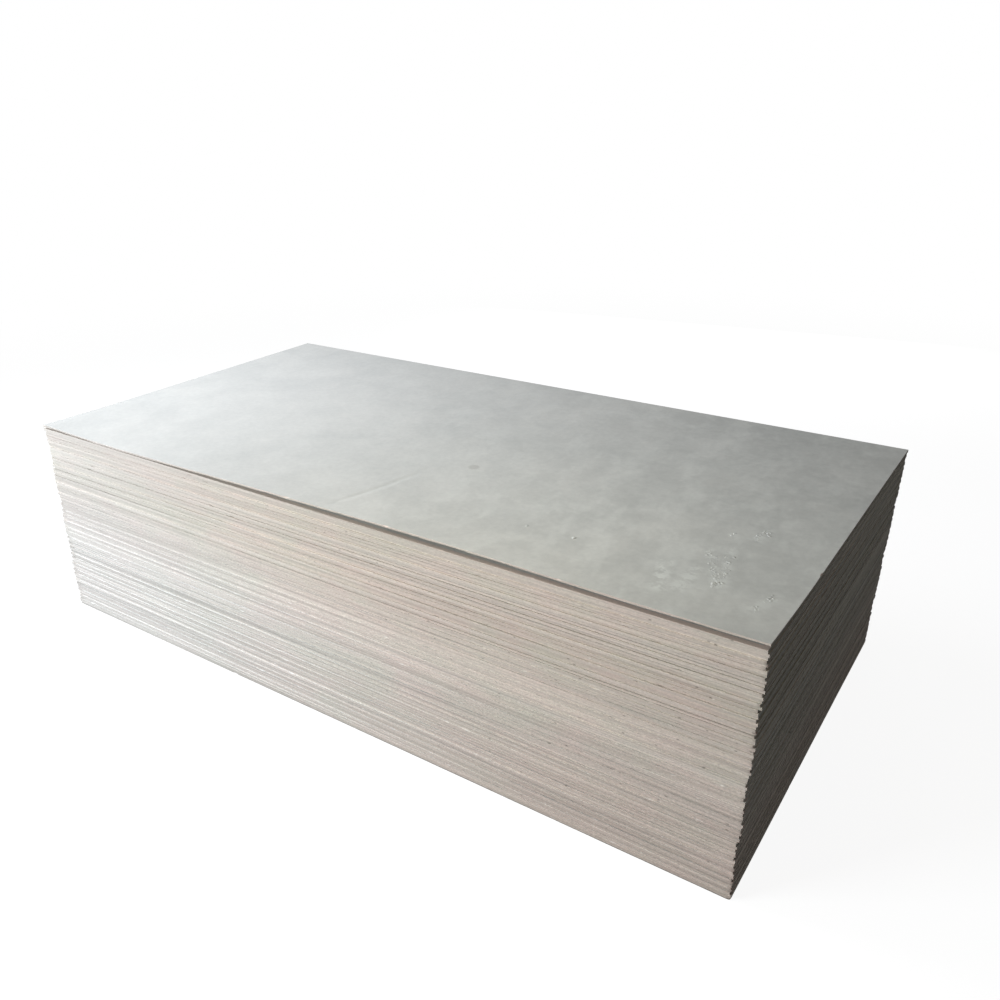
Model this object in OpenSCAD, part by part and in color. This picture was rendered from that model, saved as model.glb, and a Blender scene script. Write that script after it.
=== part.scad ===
// Stack of flat magnesium oxide boards with a curled top board.
// All sizes are in millimetres. The board length runs along X, the width along Y
// and Z is up. The origin is on the floor, under the middle of the stack.

/* [Board] */
// Length of one board
board_length = 2440; // [1200:10:3050]
// Width of one board
board_width = 1220; // [600:10:1250]
// Thickness of one board
board_thickness = 8; // [6:1:20]
// Flat broken along each sawn edge
arris = 0.6; // [0.3:0.1:1.2]

/* [Stack] */
// Boards in the stack, the top board included
board_count = 85; // [12:1:110]
// Lean of the stack towards +X, from the floor to the top
lean_x = 23; // [0:1:30]
// Lean of the stack towards +Y, from the floor to the top
lean_y = 8; // [0:1:20]
// Turn of the stack about the vertical, from the floor to the top, in degrees
twist = -0.15; // [-0.4:0.05:0.4]
// Boards that were cut and laid down together as one lot
lot_size = 22; // [5:1:40]
// Slant of each lot along X, from its top board out to its lowest board
lot_slant = 3; // [0:1:12]
// Largest slip of a board along its length
slip_x = 3; // [0:0.5:6]
// Largest slip of a board across its width
slip_y = 2.5; // [0:0.5:6]

/* [Top board] */
// Height the front edge has curled up off the board below
curl_lift = 9; // [2:0.5:20]
// Width of the curled strip along the front edge
curl_reach = 320; // [150:10:500]
// Extra slip of the top board towards +X
top_shift_x = 2; // [0:1:15]
// Extra slip of the top board towards the front
top_shift_front = 5; // [0:1:15]

/* [Hidden] */

// Number of the top board, counted from 0 at the floor
top = board_count - 1;
// Boards a slip pattern runs through before it nearly repeats
slow_wave = 23;
// Turn between the slips of neighbouring boards, which never settles into a rhythm
fast_turn = 137.5;
// Start of the pattern across the width, so it differs from the one along the length
width_phase = 64;
// Share of a slip that wanders slowly from board to board; the rest is scatter
slow_share = 0.4;
// Radius of the underside of the curled strip
curl_radius = (curl_reach * curl_reach + curl_lift * curl_lift) / (2 * curl_lift);
// Radius of the upper side of the curled strip
curl_inner = curl_radius - board_thickness;
// Angle the curled strip turns through
curl_angle = asin(curl_reach / curl_radius);
// Board colours
face_color = [0.75, 0.76, 0.75];
edge_color = [0.81, 0.79, 0.76];

// Share of the stack height at board i, 0 at the floor and 1 at the top
function height_share(i) = i / top;

// Repeatable spread of board i between -1 and 1
function spread(i, phase) =
    slow_share * sin(360 * i / slow_wave + phase)
    + (1 - slow_share) * sin(fast_turn * i + phase);

// Turn of board i about the vertical
function turn(i) = twist * height_share(i);

// Slant of board i within its lot, from half a slant out to half a slant in
function slant(i) = lot_slant * (0.5 - (i % lot_size) / (lot_size - 1));

// Middle of board i along X and Y, before the stack is centred
function drift_x(i) =
    lean_x * height_share(i) + slant(i) + slip_x * spread(i, 0) + (i == top ? top_shift_x : 0);
function drift_y(i) =
    lean_y * height_share(i) + slip_y * spread(i, width_phase) - (i == top ? top_shift_front : 0);

// Half of the room board i takes along X and along Y
function half_x(i) = (board_length * cos(turn(i)) + board_width * abs(sin(turn(i)))) / 2;
function half_y(i) = (board_width * cos(turn(i)) + board_length * abs(sin(turn(i)))) / 2;

// Middle of the whole stack along X and Y, before it is centred
middle_x = (max([for (i = [0:top]) drift_x(i) + half_x(i)])
    + min([for (i = [0:top]) drift_x(i) - half_x(i)])) / 2;
middle_y = (max([for (i = [0:top]) drift_y(i) + half_y(i)])
    + min([for (i = [0:top]) drift_y(i) - half_y(i)])) / 2;

// Puts a board at its place in the stack
module place(i) {
    translate([drift_x(i) - middle_x, drift_y(i) - middle_y, i * board_thickness])
        rotate([0, 0, turn(i)])
            children();
}

// Section of a flat board with its four corners broken
module flat_section(span) {
    half = span / 2;
    polygon([
        [arris - half, 0],
        [half - arris, 0],
        [half, arris],
        [half, board_thickness - arris],
        [half - arris, board_thickness],
        [arris - half, board_thickness],
        [-half, board_thickness - arris],
        [-half, arris]
    ]);
}

// One flat board lying on Z = 0
module board() {
    intersection() {
        rotate([90, 0, 90])
            linear_extrude(height = board_length, center = true)
                flat_section(board_width);
        rotate([90, 0, 0])
            linear_extrude(height = board_width, center = true)
                flat_section(board_length);
    }
}

// Every second board of the stack below the top board
module every_second(first) {
    for (i = [first:2:top - 1])
        place(i)
            board();
}

module boards_even() {
    color(edge_color)
        every_second(0);
}

module boards_odd() {
    color(edge_color)
        every_second(1);
}

// Flat part of the top board, from the start of the curl to the back edge
module top_flat() {
    intersection() {
        board();
        translate([-board_length, curl_reach - board_width / 2, -board_thickness])
            cube([2 * board_length, board_width, 3 * board_thickness]);
    }
}

// Section of the curled strip: the distance from the curl axis runs along X
module curl_section() {
    half = board_length / 2;
    polygon([
        [curl_inner, arris - half],
        [curl_inner + arris, -half],
        [curl_radius - arris, -half],
        [curl_radius, arris - half],
        [curl_radius, half - arris],
        [curl_radius - arris, half],
        [curl_inner + arris, half],
        [curl_inner, half - arris]
    ]);
}

// Two corners taken off the front edge, which lies on the line Y = 0
module lip_corners() {
    polygon([
        [curl_radius - 2 * arris, arris],
        [curl_radius + arris, -2 * arris],
        [curl_radius + arris, arris]
    ]);
    polygon([
        [curl_inner + 2 * arris, arris],
        [curl_inner - arris, arris],
        [curl_inner - arris, -2 * arris]
    ]);
}

// Curled strip along the front edge, bent about an axis above the board
module top_curl() {
    translate([0, curl_reach - board_width / 2, curl_radius])
        rotate([0, 90, 180])
            difference() {
                rotate_extrude(angle = curl_angle)
                    curl_section();
                rotate([0, 0, curl_angle])
                    linear_extrude(height = 2 * board_length, center = true)
                        lip_corners();
            }
}

module top_board() {
    color(face_color)
        place(top)
            union() {
                top_flat();
                top_curl();
            }
}

top_board();
boards_even();
boards_odd();
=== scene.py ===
"""Looks of a stack of magnesium oxide boards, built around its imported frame.

The curled board on top is one piece. The flat boards below it are gathered in runs, and
each run is one piece of separate closed boards. Lengths are in metres and +Z is up.
"""

import logging
import math
from dataclasses import dataclass, field
from enum import Enum
from typing import NamedTuple

import bpy
import numpy as np
from mathutils import Matrix, Vector


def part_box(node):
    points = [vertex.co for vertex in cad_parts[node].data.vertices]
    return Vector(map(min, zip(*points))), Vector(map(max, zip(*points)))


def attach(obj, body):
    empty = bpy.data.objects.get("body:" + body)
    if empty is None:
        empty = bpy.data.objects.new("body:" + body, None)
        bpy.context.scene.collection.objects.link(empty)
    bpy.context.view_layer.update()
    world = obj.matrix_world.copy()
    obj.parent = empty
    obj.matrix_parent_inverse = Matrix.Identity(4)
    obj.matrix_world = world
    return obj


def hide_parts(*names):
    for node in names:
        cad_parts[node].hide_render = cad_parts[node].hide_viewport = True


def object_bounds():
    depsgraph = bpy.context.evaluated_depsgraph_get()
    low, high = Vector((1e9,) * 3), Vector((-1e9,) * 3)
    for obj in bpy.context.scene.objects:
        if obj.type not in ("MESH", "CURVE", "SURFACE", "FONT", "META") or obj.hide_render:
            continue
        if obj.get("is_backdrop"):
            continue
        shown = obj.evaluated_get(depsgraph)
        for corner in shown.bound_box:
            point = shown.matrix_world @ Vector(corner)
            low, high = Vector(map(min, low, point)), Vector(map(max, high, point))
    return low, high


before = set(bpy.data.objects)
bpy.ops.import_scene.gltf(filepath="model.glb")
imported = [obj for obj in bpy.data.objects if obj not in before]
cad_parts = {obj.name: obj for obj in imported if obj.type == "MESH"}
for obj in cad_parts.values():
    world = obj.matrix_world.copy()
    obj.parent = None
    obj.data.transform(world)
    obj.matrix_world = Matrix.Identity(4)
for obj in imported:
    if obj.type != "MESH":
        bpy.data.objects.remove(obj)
CAD_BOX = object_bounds()

MM = 0.001
SEED = 4127
BODY = "root"
MAP_NAME = "OFBake"
LEVEL_NAME = "board_number"
LOG = logging.getLogger("board_stack")

# Signs of the four corners, front left first and then anticlockwise seen from above
CORNER_SIGNS = np.array([[-1, -1], [1, -1], [1, 1], [-1, 1]])


class Slot(Enum):
    """Names of the record's material slots, which the pieces here do not use."""

    FACE = "board_face"
    EDGE = "board_edge"


class Side(Enum):
    """Sides of a board in the order its rim runs."""

    FRONT = 0
    RIGHT = 1
    BACK = 2
    LEFT = 3


class Finish(Enum):
    """Places of the two finishes in a piece's list of materials."""

    EDGE = 0
    FACE = 1


class Tile(NamedTuple):
    """A rectangle of the flat map that a strip or a face is laid out in."""

    left: float
    low: float
    right: float
    high: float

    def place(self, across: np.ndarray, up: np.ndarray) -> np.ndarray:
        """Puts shares of the tile's width and height on the map.

        Args:
            across: Shares of the width, from 0 to 1.
            up: Shares of the height, from 0 to 1.

        Returns:
            Map places, with two numbers in the last axis.
        """
        across, up = np.broadcast_arrays(across, up)
        return np.stack(
            [self.left + (self.right - self.left) * across, self.low + (self.high - self.low) * up],
            axis=-1,
        )

    def column(self, number: int, count: int, fill: float) -> "Tile":
        """Cuts one of several equal columns out of the tile.

        Args:
            number: Number of the column, from 0 at the left.
            count: Number of columns.
            fill: Share of the column that is used.

        Returns:
            The column.
        """
        step = (self.right - self.left) / count
        left = self.left + step * number
        return Tile(left, self.low, left + step * fill, self.high)


Paint = tuple[float, float, float, float]


def paint(red: float, green: float, blue: float) -> Paint:
    """Turns a colour as seen on a screen into the one that a shader takes.

    Args:
        red: Red, from 0 to 255.
        green: Green, from 0 to 255.
        blue: Blue, from 0 to 255.

    Returns:
        The linear colour with an alpha of 1.
    """
    shares = [value / 255 for value in (red, green, blue)]
    linear = [s / 12.92 if s <= 0.04045 else ((s + 0.055) / 1.055) ** 2.4 for s in shares]
    return (*linear, 1.0)


def smooth_step(value: np.ndarray, low: float, high: float) -> np.ndarray:
    """Rises smoothly from 0 at low to 1 at high.

    Args:
        value: Where to read the step.
        low: Start of the rise.
        high: End of the rise.

    Returns:
        Values from 0 to 1.
    """
    share = np.clip((value - low) / (high - low), 0.0, 1.0)
    return share * share * (3 - 2 * share)


@dataclass(frozen=True)
class BoardPlace:
    """Where one board lies in the stack, read from its solid."""

    level: int
    corners: np.ndarray
    low: float
    high: float

    @property
    def length(self) -> float:
        """Length of the board along its front edge."""
        return float(np.linalg.norm(self.corners[1] - self.corners[0]))

    @property
    def width(self) -> float:
        """Width of the board along its right end."""
        return float(np.linalg.norm(self.corners[2] - self.corners[1]))

    @property
    def around(self) -> float:
        """Length of the board's whole rim."""
        return 2 * (self.length + self.width)

    @property
    def half(self) -> np.ndarray:
        """Half of the length and half of the width."""
        return np.array([self.length, self.width]) / 2

    @property
    def axes(self) -> tuple[np.ndarray, np.ndarray]:
        """Directions along and across the board."""
        along = (self.corners[1] - self.corners[0]) / self.length
        return along, np.array([-along[1], along[0]])

    def settle(self, plan: np.ndarray, height: np.ndarray | float) -> np.ndarray:
        """Moves points of the board from its own middle to its place in the stack.

        Args:
            plan: Places along and across the board, one row for each point.
            height: Heights over the floor.

        Returns:
            Points in the frame, one row each.
        """
        along, across = self.axes
        flat = self.corners.mean(axis=0) + plan[:, :1] * along + plan[:, 1:] * across
        return np.column_stack([flat, np.broadcast_to(height, len(flat))])

    def plan(self, points: np.ndarray) -> np.ndarray:
        """Reads where points of the frame lie on the board.

        Args:
            points: Points in the frame, one row each.

        Returns:
            Places along and across the board, from its middle.
        """
        along, across = self.axes
        shift = points[:, :2] - self.corners.mean(axis=0)
        return np.column_stack([shift @ along, shift @ across])


@dataclass(frozen=True)
class StackSurvey:
    """Reads the boards' places from the solids of the frame."""

    top_node: str = "top_board"
    even_node: str = "boards_even"
    odd_node: str = "boards_odd"

    @property
    def thickness(self) -> float:
        """Thickness of a board: the odd boards start one board higher than the even ones."""
        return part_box(self.odd_node)[0].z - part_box(self.even_node)[0].z

    def points(self, node: str) -> np.ndarray:
        """Reads the points of a node's solids.

        Args:
            node: Name of the node.

        Returns:
            The points, one row each.
        """
        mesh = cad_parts[node].data
        points = np.empty(len(mesh.vertices) * 3)
        mesh.vertices.foreach_get("co", points)
        return points.reshape(-1, 3)

    def lowest_level(self, points: np.ndarray) -> int:
        """Number of the board that the lowest point belongs to."""
        return round(points[:, 2].min() / self.thickness)

    def places(self, node: str) -> list[BoardPlace]:
        """Finds each board of a node that holds every second board.

        Args:
            node: Name of the node.

        Returns:
            The boards' places from the lowest up.
        """
        points = self.points(node)
        first = self.lowest_level(points)
        middle = points[:, 2] / self.thickness - first - 0.5
        steps = np.clip(np.round(middle / 2), 0, None).astype(int)
        return [self.place(first + 2 * step, points[steps == step]) for step in np.unique(steps)]

    def place(self, level: int, points: np.ndarray) -> BoardPlace:
        """Reads one board's corners.

        Args:
            level: Number of the board, counted from 0 at the floor.
            points: The points of its solid.

        Returns:
            The board's place.
        """
        reach = points[:, :2] @ CORNER_SIGNS.T
        corners = points[np.argmax(reach, axis=0), :2]
        return BoardPlace(level, corners, level * self.thickness, (level + 1) * self.thickness)

    def corner_line(self) -> np.ndarray:
        """Fits a straight line up the stack, which the back right corners keep to on the whole.

        Returns:
            The line's slope by level and its start.
        """
        boards = [*self.places(self.even_node), *self.places(self.odd_node)]
        reaches = [board.corners[2].mean() for board in boards]
        return np.polyfit([board.level for board in boards], reaches, 1)

    def top_place(self) -> BoardPlace:
        """Place of the board on top, whose curled front edge rises over the flat height."""
        points = self.points(self.top_node)
        return self.place(self.lowest_level(points), points)


@dataclass(frozen=True)
class Ripple:
    """A wavy line that closes on itself round a rim, from about -1 to 1."""

    waves: np.ndarray
    starts: np.ndarray
    heights: np.ndarray

    LEAST_HEIGHT = 0.5
    SWING = 1.6

    @classmethod
    def draw(cls, rng: np.random.Generator, slowest: int, fastest: int, count: int = 6) -> "Ripple":
        """Draws a ripple by chance.

        Args:
            rng: Source of chance.
            slowest: Fewest waves round the rim.
            fastest: Most waves round the rim.
            count: Waves that are added up.

        Returns:
            The ripple.
        """
        waves = rng.integers(slowest, fastest + 1, count)
        heights = rng.uniform(cls.LEAST_HEIGHT, 1.0, count)
        return cls(waves, rng.uniform(0, 1, count), heights * cls.SWING / heights.sum())

    def at(self, share: np.ndarray) -> np.ndarray:
        """Reads the ripple at shares of the way round."""
        turns = share[:, None] * self.waves + self.starts
        return np.sin(2 * math.pi * turns) @ self.heights


@dataclass(frozen=True)
class Breaks:
    """Small breaks along one line of a rim."""

    middles: np.ndarray
    reaches: np.ndarray
    depths: np.ndarray
    drops: np.ndarray

    # Least size in millimetres, and how much a whole break adds to it
    REACH = (2.0, 11.0)
    DEPTH = (0.4, 3.2)
    DROP = (0.3, 2.0)
    SMALLEST = 0.3
    POWER = 1.5
    MARKS = np.array([-1.0, -0.6, -0.15, 0.25, 0.7, 1.0])

    @classmethod
    def draw(cls, rng: np.random.Generator, around: float, count: int) -> "Breaks":
        """Draws breaks by chance.

        Args:
            rng: Source of chance.
            around: Length of the rim.
            count: Number of breaks.

        Returns:
            The breaks.
        """
        size = rng.uniform(cls.SMALLEST, 1.0, count) ** cls.POWER
        middles = rng.uniform(0, around, count)
        sizes = [(least + more * size) * MM for least, more in (cls.REACH, cls.DEPTH, cls.DROP)]
        return cls(middles, *sizes)

    def stations(self) -> np.ndarray:
        """Distances round the rim at which the breaks need points."""
        return (self.middles[:, None] + self.reaches[:, None] * self.MARKS).ravel()

    def at(self, run: np.ndarray) -> tuple[np.ndarray, np.ndarray]:
        """Reads the breaks at distances round the rim.

        Args:
            run: Distances round the rim.

        Returns:
            How far the breaks go in, and how far they go down.
        """
        share = np.clip(np.abs(run[:, None] - self.middles) / self.reaches, 0, 1)
        bite = 1 - share**2
        return (bite * self.depths).max(axis=1), (bite * self.drops).max(axis=1)


@dataclass(frozen=True)
class Rim:
    """Points round the rim of a board, anticlockwise from the front left corner."""

    length: float
    width: float
    sides: np.ndarray
    shares: np.ndarray

    # Distances from a corner that get points of their own, and the least gap between points
    NEAR_CORNER = np.array([2.0, 5.0, 9.0]) * MM
    CLOSEST = 0.6 * MM

    @classmethod
    def spaced(cls, length: float, width: float, spacing: float, extra: np.ndarray) -> "Rim":
        """Spaces points evenly round a board, with more near its corners and where asked.

        Args:
            length: Length of the board.
            width: Width of the board.
            spacing: Distance between points.
            extra: Further distances round the rim that get a point.

        Returns:
            The rim.
        """
        near, closest = cls.NEAR_CORNER, cls.CLOSEST
        sides, shares, start = [], [], 0.0
        for side in Side:
            span = length if side in (Side.FRONT, Side.BACK) else width
            own = extra[(extra > start + closest) & (extra < start + span - closest)] - start
            even = np.linspace(0, span, round(span / spacing), endpoint=False)
            marks = np.unique(np.concatenate([even, near, span - near, own]))
            marks = marks[np.concatenate([[True], np.diff(marks) > closest])]
            sides.append(np.full(len(marks), side.value))
            shares.append(marks / span)
            start += span
        return cls(length, width, np.concatenate(sides), np.concatenate(shares))

    @property
    def around(self) -> float:
        """Length of the whole rim."""
        return 2 * (self.length + self.width)

    @property
    def spans(self) -> np.ndarray:
        """Length of the side that each point is on."""
        return np.array([self.length, self.width, self.length, self.width])[self.sides]

    @property
    def run(self) -> np.ndarray:
        """Distance of each point round the rim."""
        starts = np.array([0, self.length, self.length + self.width, 2 * self.length + self.width])
        return starts[self.sides] + self.shares * self.spans

    @property
    def round_share(self) -> np.ndarray:
        """Share of the way round the rim at each point."""
        return self.run / self.around

    @property
    def corner_gap(self) -> np.ndarray:
        """Distance of each point from the nearer corner of its side."""
        return np.minimum(self.shares, 1 - self.shares) * self.spans

    @property
    def ends(self) -> np.ndarray:
        """Share along its side at which the stretch that starts at each point ends."""
        same = np.roll(self.sides, -1) == self.sides
        return np.where(same, np.roll(self.shares, -1), 1.0)

    def inset(self, distance: np.ndarray) -> np.ndarray:
        """Places the points on the board's plan, moved in from its edge.

        Args:
            distance: How far each point lies in from the edge.

        Returns:
            Places along and across the board, from its middle.
        """
        half = np.array([self.length, self.width]) / 2 - distance[:, None]
        start = half * CORNER_SIGNS[self.sides]
        end = half * CORNER_SIGNS[(self.sides + 1) % len(Side)]
        return start + (end - start) * self.shares[:, None]


class MeshParts:
    """Points and faces that are gathered for one joined mesh."""

    SHARP_FROM = math.radians(30)

    def __init__(self) -> None:
        """Starts with nothing gathered."""
        self.points: list[np.ndarray] = []
        self.levels: list[np.ndarray] = []
        self.corners: list[np.ndarray] = []
        self.sizes: list[np.ndarray] = []
        self.finishes: list[np.ndarray] = []
        self.rounded: list[np.ndarray] = []
        self.places: list[np.ndarray] = []
        self.count = 0

    def add_points(self, points: np.ndarray, level: int) -> np.ndarray:
        """Adds points of one board.

        Args:
            points: The points, one row each.
            level: Number of the board.

        Returns:
            The points' numbers in the joined mesh.
        """
        numbers = np.arange(self.count, self.count + len(points))
        self.points.append(points)
        self.levels.append(np.full(len(points), float(level)))
        self.count += len(points)
        return numbers

    def add_faces(
        self, faces: np.ndarray, finish: Finish, places: np.ndarray, rounded: bool = False
    ) -> None:
        """Adds faces that have the same number of corners.

        Args:
            faces: Point numbers, one row for each face.
            finish: Finish that the faces wear.
            places: Map places of the faces' corners.
            rounded: Whether the faces are shaded as one smooth surface.
        """
        count, size = faces.shape
        self.corners.append(faces.ravel())
        self.sizes.append(np.full(count, size))
        self.finishes.append(np.full(count, finish.value))
        self.rounded.append(np.full(count, rounded))
        self.places.append(places.reshape(-1, 2))

    def add_band(
        self,
        rim: Rim,
        rings: list[np.ndarray],
        marks: tuple[float, ...],
        tiles: dict[Side, Tile],
    ) -> None:
        """Joins rings of points that lie one below the other round a rim, as a sawn edge.

        Args:
            rim: The rim that the rings run round.
            rings: Point numbers of each ring, from the top one down.
            marks: Share of a tile's height at which each ring lies.
            tiles: Part of the map that each side's strips take.
        """
        following = np.roll(np.arange(len(rim.shares)), -1)
        across = np.stack([rim.shares, rim.shares, rim.ends, rim.ends], axis=1)
        for upper, lower, mark, next_mark in zip(rings, rings[1:], marks, marks[1:]):
            faces = np.stack([upper, lower, lower[following], upper[following]], axis=1)
            up = np.array([mark, next_mark, next_mark, mark])
            for side in Side:
                own = rim.sides == side.value
                self.add_faces(faces[own], Finish.EDGE, tiles[side].place(across[own], up))

    def make(self, name: str, materials: list[bpy.types.Material]) -> bpy.types.Object:
        """Makes the joined mesh.

        Args:
            name: Name of the piece.
            materials: Its materials, in the order of Finish.

        Returns:
            The piece.
        """
        sizes = np.concatenate(self.sizes)
        mesh = bpy.data.meshes.new(name)
        mesh.vertices.add(self.count)
        mesh.vertices.foreach_set("co", np.concatenate(self.points).astype(np.float32).ravel())
        mesh.loops.add(int(sizes.sum()))
        mesh.loops.foreach_set("vertex_index", np.concatenate(self.corners).astype(np.int32))
        mesh.polygons.add(len(sizes))
        starts = np.concatenate([[0], np.cumsum(sizes)[:-1]])
        mesh.polygons.foreach_set("loop_start", starts.astype(np.int32))
        mesh.polygons.foreach_set("material_index", np.concatenate(self.finishes).astype(np.int32))
        mesh.polygons.foreach_set("use_smooth", np.concatenate(self.rounded))
        flat_map = mesh.uv_layers.new(name=MAP_NAME)
        flat_map.data.foreach_set("uv", np.concatenate(self.places).astype(np.float32).ravel())
        numbers = mesh.attributes.new(LEVEL_NAME, "FLOAT", "POINT")
        numbers.data.foreach_set("value", np.concatenate(self.levels).astype(np.float32))
        for material in materials:
            mesh.materials.append(material)
        mesh.update(calc_edges=True)
        mesh.validate()
        mesh.set_sharp_from_angle(angle=self.SHARP_FROM)
        piece = bpy.data.objects.new(name, mesh)
        bpy.context.scene.collection.objects.link(piece)
        return piece


@dataclass(frozen=True)
class LooseBand:
    """A band of the stack whose boards lie loose towards their right end."""

    level: float
    levels: float
    sag: float
    reach: tuple[float, float]

    def at(self, level: int, along: np.ndarray) -> np.ndarray:
        """Reads the most sag of a board.

        Args:
            level: Number of the board.
            along: Shares of the length, from the board's middle.

        Returns:
            The sag at each share.
        """
        near = math.exp(-(((level - self.level) / self.levels) ** 2))
        return self.sag * near * smooth_step(along, *self.reach)


@dataclass(frozen=True)
class EdgeWear:
    """Sizes of the wear along a board's sawn edges, with the fewest and most waves round it."""

    ledge: float = 14 * MM
    seat_gap: float = 0.05 * MM
    bow: float = 0.4 * MM
    bow_waves: tuple[int, int] = (2, 7)
    waviness: float = 0.12 * MM
    wavy_waves: tuple[int, int] = (14, 70)
    hollow: float = 0.15 * MM
    hollow_waves: tuple[int, int] = (20, 90)
    arris: float = 0.12 * MM
    arris_spread: float = 0.3 * MM
    arris_waves: tuple[int, int] = (20, 110)
    arris_level: float = 0.1
    arris_swing: float = 0.8
    most_sag: float = 1.1 * MM
    sag_power: int = 3
    sag_waves: tuple[int, int] = (3, 10)
    sag_level: float = 0.35
    fewest_breaks: int = 5
    most_breaks: int = 10
    bruise: float = 2.2 * MM
    bruise_reach: float = 11 * MM
    least_bruise: float = 0.05
    back_bruise: float = 0.4
    corner_slack: float = 1.2 * MM
    trim_on_right: tuple[float, float] = (0.05, 0.95)
    trim_on_back: tuple[float, float] = (0.0, 0.2)
    tight_level: int = 77
    tight_share: float = 0.25
    end_share: float = 0.4
    end_reach: float = 80 * MM
    loose: tuple[LooseBand, ...] = (
        LooseBand(72, 6, 1.15 * MM, (-0.35, 0.3)),
        LooseBand(57, 3, 1.1 * MM, (-0.1, 0.25)),
        LooseBand(20, 18, 0.9 * MM, (-0.05, 0.45)),
    )
    loose_power: float = 1.5
    loose_at_corner: float = 0.5

    def draw_breaks(self, rng: np.random.Generator, around: float) -> tuple[Breaks, Breaks]:
        """Draws as many breaks for the upper arris of an edge as for the lower one.

        Args:
            rng: Source of chance.
            around: Length of the rim.

        Returns:
            The upper and the lower breaks.
        """
        count = int(rng.integers(self.fewest_breaks, self.most_breaks + 1))
        return Breaks.draw(rng, around, count), Breaks.draw(rng, around, count)


@dataclass
class WornEdge:
    """The worn sawn edge of one board, as lines that run round its rim."""

    place: BoardPlace
    wear: EdgeWear
    corner_line: np.ndarray
    spacing: float = 18 * MM
    rng: np.random.Generator = field(init=False)
    upper_breaks: Breaks = field(init=False)
    lower_breaks: Breaks = field(init=False)
    rim: Rim = field(init=False)

    def __post_init__(self) -> None:
        """Draws the board's own breaks and spaces its rim."""
        self.rng = np.random.default_rng([SEED, self.place.level])
        self.upper_breaks, self.lower_breaks = self.wear.draw_breaks(self.rng, self.place.around)
        extra = np.concatenate([self.upper_breaks.stations(), self.lower_breaks.stations()])
        self.rim = Rim.spaced(self.place.length, self.place.width, self.spacing, extra)

    def ripple(self, waves: tuple[int, int]) -> np.ndarray:
        """Draws a ripple and reads it at each point of the rim."""
        return Ripple.draw(self.rng, *waves).at(self.rim.round_share)

    def quiet(self) -> np.ndarray:
        """Share of the wear at each point of the rim: all on the long sides, less on the ends."""
        on_end = (self.rim.sides % 2) * smooth_step(self.rim.corner_gap, 0, self.wear.end_reach)
        return 1 - (1 - self.wear.end_share) * on_end

    def sag(self) -> np.ndarray:
        """How far one face falls away at the edge, more where the boards lie loose.

        Returns:
            The sag at each point of the rim.
        """
        wear, rim = self.wear, self.rim
        height = wear.most_sag * self.rng.uniform() ** wear.sag_power
        if self.place.level >= wear.tight_level:
            height *= wear.tight_share
        wave = self.ripple(wear.sag_waves)
        along = rim.inset(np.zeros(len(wave)))[:, 0] / self.place.length
        loose = sum(band.at(self.place.level, along) for band in wear.loose)
        loose = loose * self.rng.uniform() ** wear.loose_power
        off_corner = smooth_step(rim.corner_gap, 0, wear.end_reach)
        loose = loose * (wear.loose_at_corner + (1 - wear.loose_at_corner) * off_corner)
        return self.quiet() * (height * np.clip(wave + wear.sag_level, 0, None) + loose)

    def arris(self, breaks: Breaks) -> tuple[np.ndarray, np.ndarray]:
        """Flat that is worn along one arris, with its breaks.

        Args:
            breaks: Breaks along the arris.

        Returns:
            How far the flat reaches in and down at each point of the rim.
        """
        wear = self.wear
        wave = self.ripple(wear.arris_waves)
        spread = wear.arris_spread * self.quiet()
        flat = wear.arris + spread * np.clip(wear.arris_level + wear.arris_swing * wave, 0, None)
        depth, drop = breaks.at(self.rim.run)
        return flat + depth, flat + drop

    def bruises(self) -> np.ndarray:
        """How far the corners are knocked in.

        Returns:
            The depth at each point of the rim.
        """
        depths = self.wear.bruise * self.rng.uniform(self.wear.least_bruise, 1.0, len(Side)) ** 2
        depths[Side.BACK.value] *= self.wear.back_bruise
        nearest = (self.rim.sides + (self.rim.shares > 0.5)) % len(Side)
        share = np.clip(1 - self.rim.corner_gap / self.wear.bruise_reach, 0, 1)
        return depths[nearest] * share**2

    def trim(self) -> np.ndarray:
        """How far the right end runs in towards the back, where the boards stand in line.

        Returns:
            The distance at each point of the rim.
        """
        wear, shares, sides = self.wear, self.rim.shares, self.rim.sides
        proud = self.place.corners[2].mean() - np.polyval(self.corner_line, self.place.level)
        on_right = smooth_step(shares, *wear.trim_on_right) * (sides == Side.RIGHT.value)
        on_back = (1 - smooth_step(shares, *wear.trim_on_back)) * (sides == Side.BACK.value)
        return max(proud + wear.corner_slack, 0.0) * (on_right + on_back)

    def lines(self) -> list[tuple[np.ndarray, np.ndarray]]:
        """Lines of the edge from the upper face down to the lower one.

        Returns:
            For each line, how far its points lie in from the edge and how high they are.
        """
        wear = self.wear
        line = wear.bow * self.ripple(wear.bow_waves)
        wave = wear.waviness * self.quiet() * self.ripple(wear.wavy_waves)
        line = line + wave + self.bruises() + self.trim()
        hollow = np.clip(self.ripple(wear.hollow_waves), 0, None)
        hollow = wear.hollow * self.quiet() * hollow
        upper_in, upper_drop = self.arris(self.upper_breaks)
        lower_in, lower_drop = self.arris(self.lower_breaks)
        high = self.place.high - wear.seat_gap
        low = self.place.low + wear.seat_gap
        upper, lower = high - self.sag(), low + self.sag()
        ledge = np.full(len(line), wear.ledge)
        return [
            (ledge, np.full(len(line), high)),
            (line + upper_in, upper),
            (line, upper - upper_drop),
            (line + hollow, (upper + lower) / 2),
            (line, lower + lower_drop),
            (line + lower_in, lower),
            (ledge, np.full(len(line), low)),
        ]


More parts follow.
